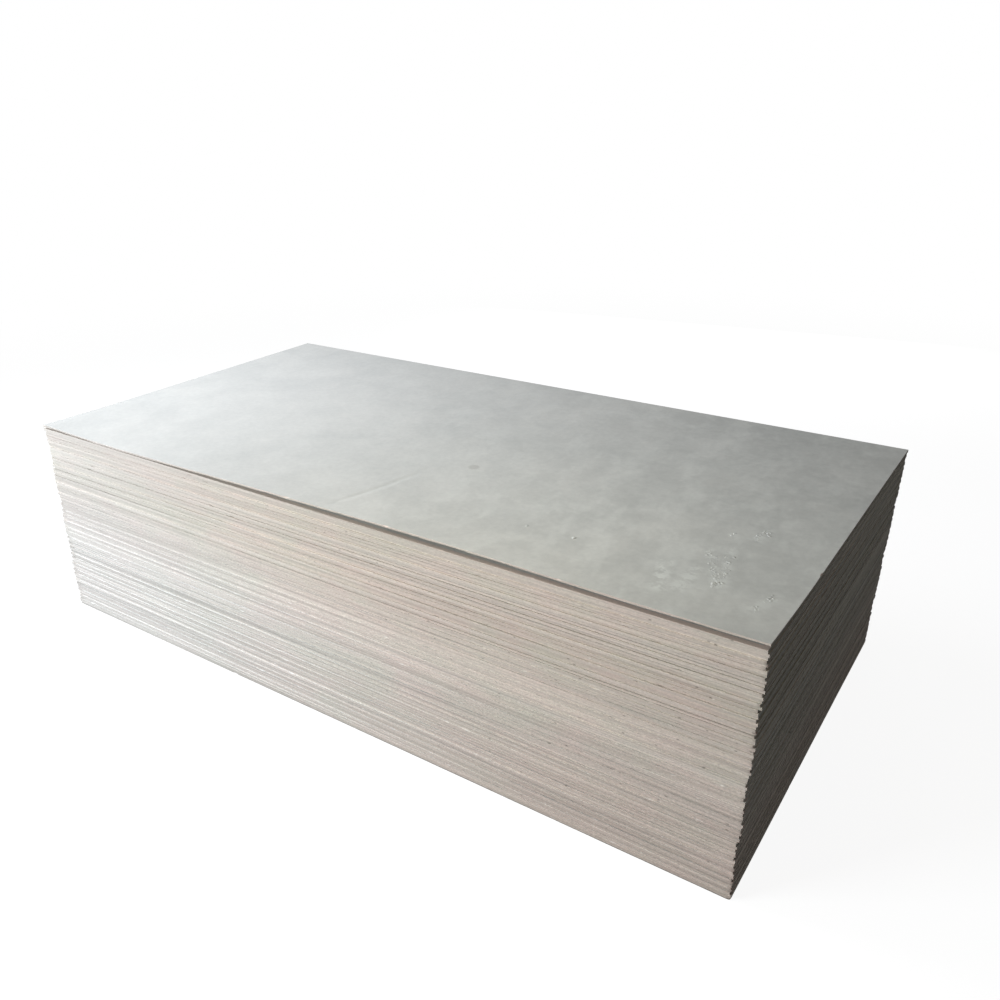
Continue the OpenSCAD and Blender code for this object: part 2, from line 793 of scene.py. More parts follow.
@dataclass
class BoardRun:
    """A run of the stack's flat boards that share one mesh."""

    name: str
    node: str
    places: list[BoardPlace]
    corner_line: np.ndarray
    wear: EdgeWear = field(default_factory=EdgeWear)
    cap_strip: float = 0.06
    row_fill: float = 0.9
    end_gap: float = 0.01

    # Lines of an edge on the map, the two strips of face at its sides kept narrow
    MARKS = (0.0, 0.18, 0.27, 0.5, 0.73, 0.82, 1.0)

    # Rows of the map that a board takes: one for each long side and one for both ends
    ROWS = 3

    def tiles(self, number: int) -> dict[Side, Tile]:
        """Lays out the parts of the map for one board.

        Args:
            number: Number of the board in the run.

        Returns:
            The tile of each side.
        """
        row = (1 - self.cap_strip) / (self.ROWS * len(self.places))
        lows = [self.cap_strip + row * (self.ROWS * number + step) for step in range(self.ROWS)]
        highs = [low + row * self.row_fill for low in lows]
        end = (1 - self.end_gap) / 2
        return {
            Side.FRONT: Tile(0.0, highs[0], 1.0, lows[0]),
            Side.BACK: Tile(0.0, highs[1], 1.0, lows[1]),
            Side.RIGHT: Tile(0.0, highs[2], end, lows[2]),
            Side.LEFT: Tile(1 - end, highs[2], 1.0, lows[2]),
        }

    def add_board(self, parts: MeshParts, number: int) -> None:
        """Adds one closed board.

        Args:
            parts: Mesh that the board goes into.
            number: Number of the board in the run.
        """
        place = self.places[number]
        edge = WornEdge(place, self.wear, self.corner_line)
        rings = [
            parts.add_points(place.settle(edge.rim.inset(depth), height), place.level)
            for depth, height in edge.lines()
        ]
        parts.add_band(edge.rim, rings, self.MARKS, self.tiles(number))
        ledge = edge.rim.inset(np.full(len(edge.rim.shares), self.wear.ledge))
        spread = ledge / place.half / 2 + 0.5
        strip = Tile(0.0, 0.0, 1.0, self.cap_strip * self.row_fill)
        for turn, ring in enumerate((rings[0], rings[-1])):
            tile = strip.column(2 * number + turn, 2 * len(self.places), self.row_fill)
            spots = tile.place(spread[:, 0], spread[:, 1])
            order = slice(None, None, -1 if turn else 1)
            parts.add_faces(ring[None, order], Finish.FACE, spots[order])

    def build(self, materials: list[bpy.types.Material]) -> bpy.types.Object:
        """Builds the run, dresses it and sets it on its body.

        Args:
            materials: Edge finish and face finish.

        Returns:
            The piece.
        """
        parts = MeshParts()
        for number in range(len(self.places)):
            self.add_board(parts, number)
        piece = parts.make(self.name, materials)
        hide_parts(self.node)
        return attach(piece, BODY)


@dataclass(frozen=True)
class Crumb:
    """A crumb of board material stuck to the top face, placed in the frame."""

    x: float
    y: float
    width: float
    height: float


@dataclass(frozen=True)
class Spill:
    """A strand of dust and crumbs on the top face, placed in the frame."""

    start: tuple[float, float]
    end: tuple[float, float]
    spread: float
    dust: float
    count: int = 0
    width: float = 7 * MM

    # Least and most width of a crumb, as shares of the usual width, and height, as shares of its own
    WIDTHS = (0.4, 1.25)
    HEIGHTS = (0.05, 0.12)

    @property
    def way(self) -> np.ndarray:
        """The strand from its start to its end."""
        return np.array(self.end) - np.array(self.start)

    def crumbs(self, rng: np.random.Generator) -> list[Crumb]:
        """Scatters the crumbs along the strand.

        Args:
            rng: Source of chance.

        Returns:
            The crumbs.
        """
        spots = np.array(self.start) + self.way * rng.uniform(0, 1, (self.count, 1))
        spots = spots + self.spread / 2 * rng.normal(0, 1, (self.count, 2))
        widths = self.width * rng.uniform(*self.WIDTHS, self.count)
        heights = widths * rng.uniform(*self.HEIGHTS, self.count)
        return [
            Crumb(x, y, width, height)
            for (x, y), width, height in zip(spots.tolist(), widths.tolist(), heights.tolist())
        ]


@dataclass(frozen=True)
class Curl:
    """How the front edge of the top board has lifted, by distance from its left end."""

    reach: float = 320 * MM
    lift: float = 9.6 * MM
    rise_from: float = 330 * MM
    rise_to: float = 1200 * MM
    corner_lift: float = 4.5 * MM
    corner_reach: float = 330 * MM
    crest: float = 5 * MM
    crest_at: float = 1620 * MM
    crest_reach: float = 340 * MM

    def lifts(self, from_left: np.ndarray) -> np.ndarray:
        """Lift of the front edge: a raised corner, a seated stretch, then the long curl and its crest.

        Args:
            from_left: Distances from the left end.

        Returns:
            The lift at each distance.
        """
        corner = self.corner_lift * (1 - smooth_step(from_left, 0, self.corner_reach))
        crest = self.crest * np.exp(-(((from_left - self.crest_at) / self.crest_reach) ** 2))
        return corner + crest + self.lift * smooth_step(from_left, self.rise_from, self.rise_to)


@dataclass(frozen=True)
class Crease:
    """A shallow crease pressed into the top face, running in from the front edge."""

    start: tuple[float, float] = (0.045, -0.600)
    end: tuple[float, float] = (0.112, -0.250)
    depth: float = 1.2 * MM
    width: float = 10 * MM
    margin: float = 30 * MM
    spacing: float = 3 * MM
    fade_in: tuple[float, float] = (-0.1, 0.3)
    fade_out: tuple[float, float] = (0.7, 1.15)

    def columns(self) -> np.ndarray:
        """Places along X at which the face needs more points to show the crease."""
        return np.arange(self.start[0] - self.margin, self.end[0] + self.margin, self.spacing)

    def heights(self, points: np.ndarray) -> np.ndarray:
        """Height of the crease against the face.

        Args:
            points: Places in the frame.

        Returns:
            The height at each place, below 0 in the crease.
        """
        start, end = np.array(self.start), np.array(self.end)
        length = np.linalg.norm(end - start)
        way = (end - start) / length
        along = (points[:, :2] - start) @ way / length
        across = (points[:, :2] - start) @ np.array([way[1], -way[0]])
        fade = smooth_step(along, *self.fade_in) * (1 - smooth_step(along, *self.fade_out))
        return -self.depth * fade * np.exp(-((across / self.width) ** 2))


@dataclass(frozen=True)
class FaceGrid:
    """Lines of points over a board's face, by shares of its length and width."""

    place: BoardPlace
    columns: np.ndarray
    rows: np.ndarray

    @property
    def numbers(self) -> np.ndarray:
        """Numbers of the points, one row for each line from the front back."""
        return np.arange(len(self.columns) * len(self.rows)).reshape(len(self.rows), -1)

    @property
    def outer(self) -> np.ndarray:
        """Numbers of the points round the rim, from the front left corner."""
        rows = self.numbers
        return np.concatenate([rows[0, :-1], rows[:-1, -1], rows[-1, :0:-1], rows[:0:-1, 0]])

    @property
    def rim(self) -> Rim:
        """Makes the rim that runs through the outer points.

        Returns:
            The rim.
        """
        columns, rows = self.columns, self.rows
        shares = [columns[:-1], rows[:-1], 1 - columns[:0:-1], 1 - rows[:0:-1]]
        sides = np.repeat(np.arange(len(shares)), [len(side) for side in shares])
        return Rim(self.place.length, self.place.width, sides, np.concatenate(shares))

    @property
    def shares(self) -> np.ndarray:
        """Shares of the length and the width at each point."""
        return np.stack(np.meshgrid(self.columns, self.rows), axis=-1).reshape(-1, 2)

    @property
    def squares(self) -> np.ndarray:
        """Finds the squares of the grid.

        Returns:
            Numbers of the four points round each square, one row for each.
        """
        rows = self.numbers
        corners = [rows[:-1, :-1], rows[:-1, 1:], rows[1:, 1:], rows[1:, :-1]]
        return np.stack(corners, axis=-1).reshape(-1, 4)


@dataclass
class TopBoard:
    """The curled board on top of the stack."""

    place: BoardPlace
    node: str
    thickness: float
    wear: EdgeWear = field(default_factory=lambda: EdgeWear(fewest_breaks=6, most_breaks=8))
    curl: Curl = field(default_factory=Curl)
    crease: Crease = field(default_factory=Crease)
    spacing: float = 10 * MM
    closest: float = 0.8 * MM
    swell: float = 0.5 * MM
    swell_waves: tuple[int, int] = (1, 5)
    front_undercut: float = 11 * MM
    front_undercut_rise: float = 3.2 * MM
    front_undercut_start: float = 60 * MM
    end_undercut: float = 300 * MM
    undercut_waves: tuple[int, int] = (10, 60)
    undercut_swing: float = 0.25
    front_chip: float = 1320 * MM
    crumb_sides: int = 9
    crumb_rings: int = 3
    crumb_waves: tuple[int, int] = (1, 4)
    crumb_swing: float = 0.35
    crumb_roughness: float = 0.1
    crumb_sunk: float = 0.4 * MM
    crumb_fill: float = 0.9
    rng: np.random.Generator = field(init=False)
    upper_breaks: Breaks = field(init=False)
    lower_breaks: Breaks = field(init=False)
    swells: list[Ripple] = field(init=False)
    crumbs: list[Crumb] = field(init=False)

    # Lines of the edge on the map, and the parts of the map that its sides and faces take
    MARKS = (0.0, 0.15, 0.5, 0.85, 1.0)
    TILES = {
        Side.FRONT: Tile(0.0, 0.485, 1.0, 0.415),
        Side.BACK: Tile(0.0, 0.405, 1.0, 0.335),
        Side.RIGHT: Tile(0.0, 0.325, 0.495, 0.265),
        Side.LEFT: Tile(0.505, 0.325, 1.0, 0.265),
    }
    UPPER_TILE = Tile(0.0, 0.495, 1.0, 1.0)
    LOWER_TILE = Tile(0.0, 0.01, 0.5, 0.255)
    CRUMB_TILE = Tile(0.52, 0.01, 1.0, 0.255)

    SPILLS = (
        Spill((0.980, -0.296), (1.055, -0.440), 12 * MM, 0.7, 34),
        Spill((1.022, -0.265), (1.060, -0.438), 12 * MM, 0.6, 26),
        Spill((1.046, -0.436), (1.062, -0.446), 9 * MM, 0.8, 8, 10 * MM),
        Spill((1.053, -0.185), (1.058, -0.123), 16 * MM, 0.5, 26),
        Spill((1.153, -0.498), (1.181, -0.426), 16 * MM, 0.5, 18),
        Spill((0.950, -0.520), (0.917, -0.402), 17 * MM, 0.9),
        Spill((0.987, -0.498), (0.989, -0.402), 19 * MM, 0.7, 3),
        Spill((0.992, -0.194), (0.998, -0.186), 7 * MM, 0.8, 3, 9 * MM),
        Spill((0.545, -0.412), (0.558, -0.408), 6 * MM, 0.5, 2, 9 * MM),
        Spill((0.676, -0.404), (0.680, -0.404), 6 * MM, 0.4, 1, 11 * MM),
        Spill((0.215, 0.030), (0.219, 0.030), 5 * MM, 0.2, 1, 8 * MM),
    )

    def __post_init__(self) -> None:
        """Draws the board's own breaks, the ripples of its face and its crumbs."""
        self.rng = np.random.default_rng([SEED, self.place.level])
        self.upper_breaks, self.lower_breaks = self.wear.draw_breaks(self.rng, self.place.around)
        self.lower_breaks.middles[0] = self.front_chip
        self.swells = [Ripple.draw(self.rng, *self.swell_waves) for _ in range(2)]
        self.crumbs = [crumb for spill in self.SPILLS for crumb in spill.crumbs(self.rng)]

    def grid_marks(
        self, span: float, starts: tuple[float, float], extra: np.ndarray
    ) -> np.ndarray:
        """Shares along one pair of sides at which the face has lines of points.

        Args:
            span: Length of those sides.
            starts: Distances round the rim at which the two sides start.
            extra: Further distances along the sides that get a line of points.

        Returns:
            The shares, from 0 to 1.
        """
        stations = np.concatenate([self.upper_breaks.stations(), self.lower_breaks.stations()])
        inner = np.concatenate([stations - starts[0], starts[1] + span - stations, extra])
        margin = self.spacing / 4
        inner = inner[(inner > margin) & (inner < span - margin)]
        even = np.linspace(0, span, round(span / self.spacing) + 1)
        marks = np.unique(np.concatenate([even, inner]))
        marks = marks[np.concatenate([[True], np.diff(marks) > self.closest])]
        marks[-1] = span
        return marks / span

    def face_grid(self) -> FaceGrid:
        """Lays out the points of the face, closer at the crease and the breaks.

        Returns:
            The grid.
        """
        length, width = self.place.length, self.place.width
        near_crease = self.crease.columns() - self.place.corners[0, 0]
        columns = self.grid_marks(length, (0.0, length + width), near_crease)
        rows = self.grid_marks(width, (length, 2 * length + width), np.empty(0))
        return FaceGrid(self.place, columns, rows)

    def rise(self, plan: np.ndarray) -> np.ndarray:
        """Height of the face over its seated height, by its curl and its gentle swells.

        Args:
            plan: Places along and across the board, from its middle.

        Returns:
            The rise at each place.
        """
        half = self.place.half
        shares = plan / half / 2 + 0.5
        lift = self.curl.lifts(plan[:, 0] + half[0])
        bend = np.clip(1 - (plan[:, 1] + half[1]) / self.curl.reach, 0, None) ** 2
        swell = self.swells[0].at(0.5 * shares[:, 0]) * self.swells[1].at(0.5 * shares[:, 1])
        return lift * bend + self.swell * (1 + swell) / 2

    def edge_lines(self, rim: Rim) -> list[tuple[np.ndarray, np.ndarray]]:
        """Lines of the edge, the front one worn back below.

        Args:
            rim: The board's rim.

        Returns:
            For each line, how far its points lie in from the edge and how far below the face.
        """
        wear, share = self.wear, rim.round_share
        line = wear.bow * Ripple.draw(self.rng, *wear.bow_waves).at(share)
        line = line + wear.waviness * Ripple.draw(self.rng, *wear.wavy_waves).at(share)
        from_left = np.where(rim.sides == Side.FRONT.value, rim.run, 0.0)
        along_end = np.where(rim.sides == Side.RIGHT.value, rim.run - rim.length, rim.width)
        front = smooth_step(from_left, 0, self.front_undercut_start)
        front = front + 1 - smooth_step(along_end, 0, self.end_undercut)
        wave = 1 + self.undercut_swing * Ripple.draw(self.rng, *self.undercut_waves).at(share)
        upper, drop = self.upper_breaks.at(rim.run)
        lower, climb = self.lower_breaks.at(rim.run)
        flat = wear.arris + wear.arris_spread
        under = flat + lower + self.front_undercut * front * wave
        climb = flat + climb + self.front_undercut_rise * front * wave
        middle = (flat + drop + self.thickness - climb) / 2
        return [
            (line + flat + upper, np.zeros(len(share))),
            (line, flat + drop),
            (line, middle),
            (line, self.thickness - climb),
            (line + under, np.full(len(share), self.thickness)),
        ]

    def add_crumb(self, parts: MeshParts, crumb: Crumb, tile: Tile) -> None:
        """Adds one crumb as a small closed mound that is sunk a little into the face.

        Args:
            parts: Mesh that the crumb goes into.
            crumb: The crumb.
            tile: Part of the map that it takes.
        """
        shares = np.arange(self.crumb_sides) / self.crumb_sides
        angles = 2 * math.pi * shares
        outline = 1 + self.crumb_swing * Ripple.draw(self.rng, *self.crumb_waves).at(shares)
        way = np.column_stack([np.cos(angles), np.sin(angles)])
        middle = np.array([crumb.x, crumb.y])
        base = self.face_height(middle[None])[0] - self.crumb_sunk
        rings, spots = [], []
        for step in range(self.crumb_rings):
            turn = 0.5 * math.pi * step / self.crumb_rings
            rough = 1 + self.rng.uniform(-1, 1, self.crumb_sides) * self.crumb_roughness
            out = crumb.width / 2 * math.cos(turn) * outline * rough
            high = base + (crumb.height + self.crumb_sunk) * math.sin(turn) * rough**2
            points = np.column_stack([middle + way * out[:, None], high])
            rings.append(parts.add_points(points, self.place.level))
            spread = 0.5 + 0.5 * way * (1 - step / self.crumb_rings)
            spots.append(tile.place(spread[:, 0], spread[:, 1]))
        following = np.roll(np.arange(self.crumb_sides), -1)
        for lower, upper, near, far in zip(rings, rings[1:], spots, spots[1:]):
            faces = np.stack([lower, lower[following], upper[following], upper], axis=1)
            places = np.stack([near, near[following], far[following], far], axis=1)
            parts.add_faces(faces, Finish.FACE, places)
        parts.add_faces(rings[-1][None], Finish.FACE, spots[-1])
        parts.add_faces(rings[0][None, ::-1], Finish.FACE, spots[0][::-1])

    def face_height(self, points: np.ndarray) -> np.ndarray:
        """Height of the top face at places in the frame.

        Args:
            points: Places in the frame.

        Returns:
            The heights over the floor.
        """
        return self.place.high + self.rise(self.place.plan(points)) + self.crease.heights(points)

    def add_points(
        self, parts: MeshParts, plan: np.ndarray, drop: np.ndarray | float
    ) -> np.ndarray:
        """Adds points that lie on the top face or below it.

        Args:
            parts: Mesh that the points go into.
            plan: Places along and across the board, one row for each point.
            drop: How far the points lie below the face.

        Returns:
            The points' numbers in the mesh.
        """
        points = self.place.settle(plan, 0.0)
        points[:, 2] = self.face_height(points) - drop
        return parts.add_points(points, self.place.level)

    def add_board(self, parts: MeshParts) -> None:
        """Adds the closed board: its two faces and the worn edge between them.

        Args:
            parts: Mesh that the board goes into.
        """
        grid = self.face_grid()
        rim, outer, shares, squares = grid.rim, grid.outer, grid.shares, grid.squares
        lines = self.edge_lines(rim)
        faces = []
        for depth, drop in (lines[0], lines[-1]):
            plan = (shares - 0.5) * [self.place.length, self.place.width]
            plan[outer] = rim.inset(depth)
            faces.append(self.add_points(parts, plan, drop.max()))
        rings = [self.add_points(parts, rim.inset(depth), drop) for depth, drop in lines[1:-1]]
        rings = [faces[0][outer], *rings, faces[1][outer]]
        parts.add_band(rim, rings, self.MARKS, self.TILES)
        for face, finish, tile, order in (
            (faces[0], Finish.FACE, self.UPPER_TILE, slice(None)),
            (faces[1], Finish.EDGE, self.LOWER_TILE, slice(None, None, -1)),
        ):
            spots = tile.place(shares[:, 0], shares[:, 1])
            parts.add_faces(face[squares][:, order], finish, spots[squares][:, order], rounded=True)

    def build(self, materials: list[bpy.types.Material]) -> bpy.types.Object:
        """Builds the board with its crumbs, dresses it and sets it on its body.

        Args:
            materials: Edge finish and face finish.

        Returns:
            The piece.
        """
        parts = MeshParts()
        self.add_board(parts)
        for number, crumb in enumerate(self.crumbs):
            tile = self.CRUMB_TILE.column(number, len(self.crumbs), self.crumb_fill)
            self.add_crumb(parts, crumb, tile)
        piece = parts.make(self.node + "_dressed", materials)
        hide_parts(self.node)
        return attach(piece, BODY)


Socket = bpy.types.NodeSocket
Value = float | tuple | Socket


class Relief(NamedTuple):
    """Strength and depth of a surface's fine relief."""

    strength: float
    depth: float

    def inputs(self) -> dict[str, float]:
        """Values of the bump node's inputs."""
        return {"Strength": self.strength, "Distance": self.depth}


class NodeBench:
    """Places and joins shader nodes in one tree."""

    def __init__(self, tree: bpy.types.NodeTree) -> None:
        """Takes the tree and leaves it empty."""
        self.tree = tree
        tree.nodes.clear()

    def feed(self, socket: Socket, value: Value) -> None:
        """Joins a socket to another, or sets it.

        Args:
            socket: Socket to feed.
            value: Socket to join it to, or the value to set.
        """
        if isinstance(value, Socket):
            self.tree.links.new(value, socket)
        else:
            socket.default_value = value

    def add(self, kind: str, inputs: dict | None = None, **settings: object) -> bpy.types.Node:
        """Adds a node.

        Args:
            kind: Blender's name of the node.
            inputs: Values of its input sockets, by name or number.
            **settings: Values of its own settings.

        Returns:
            The node.
        """
        node = self.tree.nodes.new(kind)
        for name, value in settings.items():
            setattr(node, name, value)
        for socket, value in (inputs or {}).items():
            self.feed(node.inputs[socket], value)
        return node

    def sum(self, operation: str, first: Value, second: Value = 0.0) -> Socket:
        """Works out one step of arithmetic.

        Args:
            operation: Blender's name of the step.
            first: First number.
            second: Second number.

        Returns:
            The result's socket.
        """
        node = self.add("ShaderNodeMath", {0: first, 1: second}, operation=operation)
        return node.outputs[0]

    def span(
        self, value: Value, low: float, high: float, to_low: float = 0.0, to_high: float = 1.0
    ) -> Socket:
        """Maps a range of a value smoothly to another range.

        Args:
            value: The value.
            low: Start of its range.
            high: End of its range.
            to_low: What the start becomes.
            to_high: What the end becomes.

        Returns:
            The result's socket.
        """
        inputs = {
            "Value": value,
            "From Min": low,
            "From Max": high,
            "To Min": to_low,
            "To Max": to_high,
        }
        return self.add("ShaderNodeMapRange", inputs, interpolation_type="SMOOTHSTEP").outputs[0]

    def mix(self, share: Value, first: Value, second: Value) -> Socket:
        """Mixes two colours.

        Args:
            share: Share of the second colour.
            first: First colour.
            second: Second colour.

        Returns:
            The mixed colour's socket.
        """
        node = self.add("ShaderNodeMix", {0: share, 6: first, 7: second}, data_type="RGBA")
        return node.outputs[2]

    def times(self, first: Value, second: Value) -> Socket:
        """Multiplies two numbers."""
        return self.sum("MULTIPLY", first, second)

    def shade(self, colour: Value, value: Value) -> Socket:
        """Multiplies a colour by a number that changes over the surface."""
        inputs = {0: colour, "Scale": value}
        return self.add("ShaderNodeVectorMath", inputs, operation="SCALE").outputs[0]

    def vary(self, colour: Value, mask: Value, dark: float, light: float) -> Socket:
        """Shades a colour by a mask.

        Args:
            colour: The colour.
            mask: The mask, from 0 to 1.
            dark: What the colour is multiplied by where the mask is 0.
            light: What it is multiplied by where the mask is 1.

        Returns:
            The shaded colour's socket.
        """
        return self.shade(colour, self.span(mask, 0.0, 1.0, dark, light))

    def stretch(self, place: Value, scale: tuple) -> Socket:
        """Multiplies a place along each axis by a number of its own."""
        return self.vector("MULTIPLY", place, scale)

    def vector(self, operation: str, first: Value, second: Value) -> Socket:
        """Works out one step with two vectors.

        Args:
            operation: Blender's name of the step.
            first: First vector.
            second: Second vector.

        Returns:
            The socket of the result, a number where the step gives one.
        """
        node = self.add("ShaderNodeVectorMath", {0: first, 1: second}, operation=operation)
        return next(socket for socket in node.outputs if socket.enabled)

    def split(self, vector: Value) -> bpy.types.NodeOutputs:
        """Takes a vector apart into its X, Y and Z."""
        return self.add("ShaderNodeSeparateXYZ", {"Vector": vector}).outputs

    def noise(self, place: Value, scale: Value, **inputs: float) -> Socket:
        """Reads a cloudy noise.

        Args:
            place: Where to read it.
            scale: Waves for each metre.
            **inputs: Values of the node's other inputs.

        Returns:
            The noise's socket, from 0 to 1.
        """
        named = {name.capitalize(): value for name, value in inputs.items()}
        return self.add("ShaderNodeTexNoise", {"Vector": place, "Scale": scale, **named}).outputs[0]

    def surface(
        self, colour: Value, roughness: Value, sheen_level: float, relief: Relief, height: Value
    ) -> None:
        """Ends a board's material with its shader.

        Args:
            colour: Colour of the surface.
            roughness: Its roughness.
            sheen_level: How strongly it shines.
            relief: Sizes of its fine relief.
            height: Height of the relief over the surface, from about 0 to 1.
        """
        bump = self.add("ShaderNodeBump", {**relief.inputs(), "Height": height})
        inputs = {
            "Base Color": colour,
            "Roughness": roughness,
            "Specular IOR Level": sheen_level,
            "Normal": bump.outputs[0],
        }
        shader = self.add("ShaderNodeBsdfPrincipled", inputs)
        self.add("ShaderNodeOutputMaterial", {"Surface": shader.outputs[0]})


def new_material(name: str) -> tuple[bpy.types.Material, NodeBench]:
    """Makes a material that has no nodes yet.

    Args:
        name: Its name.

    Returns:
        The material and the bench for its nodes.
    """
    material = bpy.data.materials.new(name)
    material.use_nodes = True
    return material, NodeBench(material.node_tree)


class Clouds(NamedTuple):
    """How fine clouds are, in waves for each metre, and how warped and detailed."""

    size: float
    warp: float
    detail: float


class Streaks(NamedTuple):
    """Waves for each metre of streaks, along them and upright."""

    along: float
    upright: float


class Specks(NamedTuple):
    """How fine specks are, in cells for each metre, and the share of them that shows."""

    size: float
    share: float


class Effect(Enum):
    """Effects that the finishes share."""

    BOARD_SHADE = "board_shade"
    STREAKS = "streaks"
    CLOUDS = "clouds"
    SPECKS = "specks"
    GRAIN = "grain"
    STRAND = "strand"


class EffectShelf:
    """Builds each shared effect once, as a node group."""

    VECTOR = "NodeSocketVector"
    FLOAT = "NodeSocketFloat"

    # Ranges of the noise that become 0 to 1
    STREAK_RANGE = (0.25, 0.75)
    CLOUD_RANGE = (0.3, 0.7)
    GRAIN_RANGE = (0.3, 0.7)

    # How much finer the small clouds are, and the share that the large ones have
    SMALL_CLOUDS = 3.7
    LARGE_SHARE = 0.65

    # Least and most reach of a speck in its cell, and the share of it at which its edge starts
    SPECK_REACH = (0.1, 0.34)
    SPECK_EDGE = 0.55

    def __init__(self) -> None:
        """Builds the groups."""
        self.groups = {
            Effect.BOARD_SHADE: self.board_shade(),
            Effect.STREAKS: self.streaks(),
            Effect.CLOUDS: self.clouds(),
            Effect.SPECKS: self.specks(),
            Effect.GRAIN: self.grain(),
            Effect.STRAND: self.strand(),
        }

    def place(self, bench: NodeBench, effect: Effect, **inputs: Value) -> bpy.types.Node:
        """Places an effect in a material.

        Args:
            bench: The material's nodes.
            effect: The effect.
            **inputs: Values of its inputs, by name in small letters.

        Returns:
            The group's node.
        """
        node = bench.add("ShaderNodeGroup", node_tree=self.groups[effect])
        for name, value in inputs.items():
            bench.feed(node.inputs[name.capitalize()], value)
        return node

    def read(self, bench: NodeBench, effect: Effect, **inputs: Value) -> Socket:
        """Places an effect in a material and reads its one output.

        Args:
            bench: The material's nodes.
            effect: The effect.
            **inputs: Values of its inputs, by name in small letters.

        Returns:
            The output's socket.
        """
        return self.place(bench, effect, **inputs).outputs[0]

    def start(
        self, effect: Effect, inputs: dict[str, str], outputs: tuple[str, ...]
    ) -> tuple[NodeBench, dict[str, Socket], bpy.types.Node]:
        """Starts a group with named sockets.

        Args:
            effect: The effect.
            inputs: Kinds of its input sockets, by name.
            outputs: Names of its output values.

        Returns:
            The group's nodes, its input sockets by name and its output node.
        """
        group = bpy.data.node_groups.new(effect.value, "ShaderNodeTree")
        for name, kind in inputs.items():
            group.interface.new_socket(name, in_out="INPUT", socket_type=kind)
        for name in outputs:
            group.interface.new_socket(name, in_out="OUTPUT", socket_type=self.FLOAT)
        bench = NodeBench(group)
        source = bench.add("NodeGroupInput")
        return bench, {name: source.outputs[name] for name in inputs}, bench.add("NodeGroupOutput")

    def board_shade(self) -> bpy.types.NodeTree:
        """Makes a lightness and a tone that each board has of its own.

        Returns:
            The group.
        """
        bench, given, result = self.start(
            Effect.BOARD_SHADE, {"Number": self.FLOAT, "Start": self.FLOAT}, ("Shade", "Tone")
        )
        number = bench.sum("ADD", bench.sum("ROUND", given["Number"]), given["Start"])
        chance = bench.add("ShaderNodeTexWhiteNoise", {"W": number}, noise_dimensions="1D")
        split = bench.add("ShaderNodeSeparateColor", {"Color": chance.outputs["Color"]})
        bench.feed(result.inputs["Shade"], chance.outputs["Value"])
        bench.feed(result.inputs["Tone"], split.outputs["Green"])
        return bench.tree

    def streaks(self) -> bpy.types.NodeTree:
        """Makes long streaks that run level, as a saw leaves them.

        Returns:
            The group.
        """
        inputs = {"Place": self.VECTOR, "Along": self.FLOAT, "Upright": self.FLOAT}
        bench, given, result = self.start(Effect.STREAKS, inputs, ("Streak",))
        scales = {"X": given["Along"], "Y": given["Along"], "Z": given["Upright"]}
        scale = bench.add("ShaderNodeCombineXYZ", scales).outputs[0]
        place = bench.vector("MULTIPLY", given["Place"], scale)
        wave = bench.noise(place, 1.0, detail=3.0, roughness=0.6)
        bench.feed(result.inputs["Streak"], bench.span(wave, *self.STREAK_RANGE))
        return bench.tree

    def clouds(self) -> bpy.types.NodeTree:
        """Makes soft uneven clouds of two sizes.

        Returns:
            The group.
        """
        inputs = {
            "Place": self.VECTOR, "Size": self.FLOAT, "Warp": self.FLOAT, "Detail": self.FLOAT
        }
        bench, given, result = self.start(Effect.CLOUDS, inputs, ("Cloud",))
        place, size, fine = given["Place"], given["Size"], given["Detail"]
        large = bench.noise(place, size, detail=fine, roughness=0.55, distortion=given["Warp"])
        small_size = bench.times(size, self.SMALL_CLOUDS)
        small = bench.noise(place, small_size, detail=fine, roughness=0.6)
        large = bench.times(large, self.LARGE_SHARE)
        both = bench.sum("ADD", large, bench.times(small, 1 - self.LARGE_SHARE))
        bench.feed(result.inputs["Cloud"], bench.span(both, *self.CLOUD_RANGE))
        return bench.tree

    def specks(self) -> bpy.types.NodeTree:
        """Makes scattered round specks, of which only a share shows.

        Returns:
            The group.
        """
        inputs = {"Place": self.VECTOR, "Size": self.FLOAT, "Share": self.FLOAT}
        bench, given, result = self.start(Effect.SPECKS, inputs, ("Speck",))
        cells = bench.add("ShaderNodeTexVoronoi", {"Vector": given["Place"], "Scale": given["Size"]})
        split = bench.add("ShaderNodeSeparateColor", {"Color": cells.outputs["Color"]})
        shown = bench.sum("LESS_THAN", split.outputs["Red"], given["Share"])
        reach = bench.span(split.outputs["Green"], 0.0, 1.0, *self.SPECK_REACH)
        edge = bench.sum("DIVIDE", cells.outputs["Distance"], reach)
        spot = bench.span(edge, self.SPECK_EDGE, 1.0, 1.0, 0.0)
        bench.feed(result.inputs["Speck"], bench.times(spot, shown))
        return bench.tree

    def grain(self) -> bpy.types.NodeTree:
        """Makes fine mineral grain.

        Returns:
            The group.
        """
        inputs = {"Place": self.VECTOR, "Size": self.FLOAT}
        bench, given, result = self.start(Effect.GRAIN, inputs, ("Grain",))
        fine = bench.noise(given["Place"], given["Size"], detail=6.0, roughness=0.7)
        bench.feed(result.inputs["Grain"], bench.span(fine, *self.GRAIN_RANGE))
        return bench.tree

